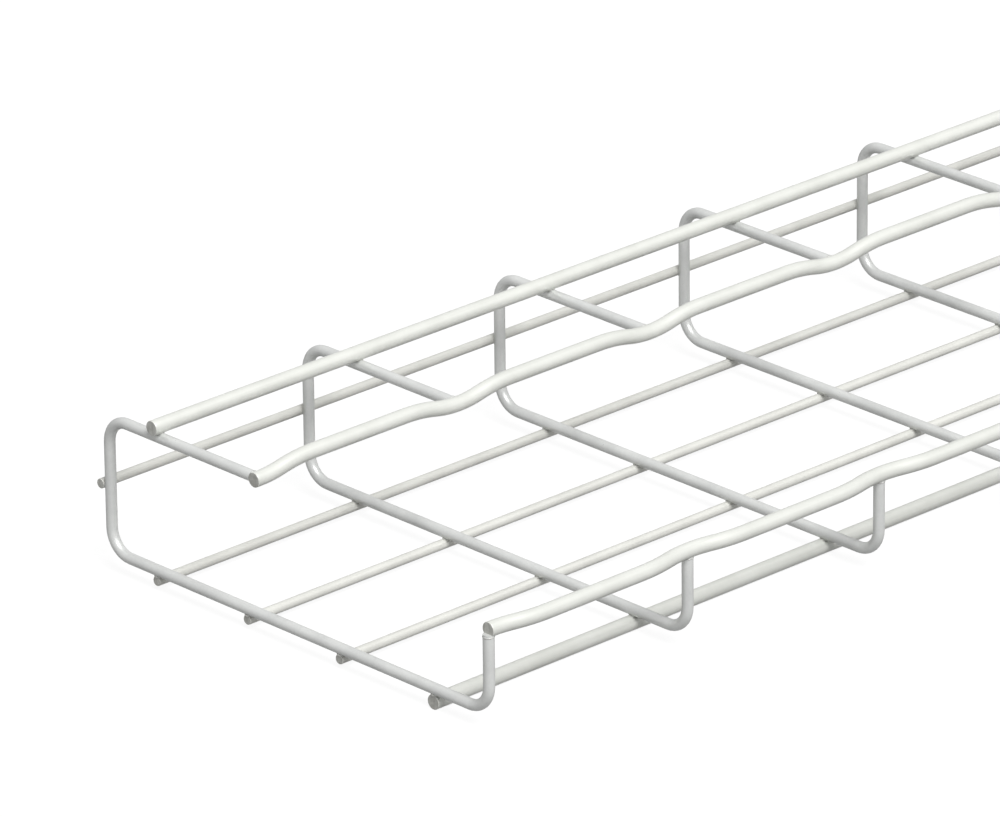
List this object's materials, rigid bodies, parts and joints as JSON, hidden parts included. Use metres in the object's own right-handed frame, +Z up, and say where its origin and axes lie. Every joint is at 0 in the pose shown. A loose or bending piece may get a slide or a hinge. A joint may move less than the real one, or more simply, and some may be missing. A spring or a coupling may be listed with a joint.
{
  "type": "wire mesh cable basket",
  "caption": "Straight length of welded wire cable basket with a G-shaped section: flanged tall side, low side, open top and wavy edge wires that keep cut ends off the cables",
  "frame": {"origin": "bottom centre of the bounding box: middle of the length and of the width, level with the underside of the heavy base wire that the basket stands on", "axes": "+Y along the basket, +Z up through the open top, +X from the tall flanged side to the low side"},
  "size_m": [0.216, 3.0084, 0.0702],
  "materials": {
    "heavy_wire": "bright zinc plated drawn steel wire",
    "light_wire": "bright zinc plated drawn steel wire",
    "cross_wire": "bright zinc plated drawn steel wire, bent cold"
  },
  "bodies": {
    "root": {"lip_wire": "heavy_wire", "flange_wire": "heavy_wire", "wall_wire": "light_wire", "floor_wire_1": "light_wire", "floor_wire_2": "light_wire", "floor_wire_3": "light_wire", "base_wire": "heavy_wire", "rim_wire": "heavy_wire", "cross_wire_1": "cross_wire", "cross_wire_2": "cross_wire", "cross_wire_3": "cross_wire", "cross_wire_4": "cross_wire", "cross_wire_5": "cross_wire", "cross_wire_6": "cross_wire", "cross_wire_7": "cross_wire", "cross_wire_8": "cross_wire", "cross_wire_9": "cross_wire", "cross_wire_10": "cross_wire", "cross_wire_11": "cross_wire", "cross_wire_12": "cross_wire", "cross_wire_13": "cross_wire", "cross_wire_14": "cross_wire", "cross_wire_15": "cross_wire", "cross_wire_16": "cross_wire", "cross_wire_17": "cross_wire", "cross_wire_18": "cross_wire", "cross_wire_19": "cross_wire", "cross_wire_20": "cross_wire", "cross_wire_21": "cross_wire", "cross_wire_22": "cross_wire", "cross_wire_23": "cross_wire", "cross_wire_24": "cross_wire", "cross_wire_25": "cross_wire", "cross_wire_26": "cross_wire", "cross_wire_27": "cross_wire", "cross_wire_28": "cross_wire", "cross_wire_29": "cross_wire", "cross_wire_30": "cross_wire", "cross_wire_31": "cross_wire"}
  },
  "joints": []
}
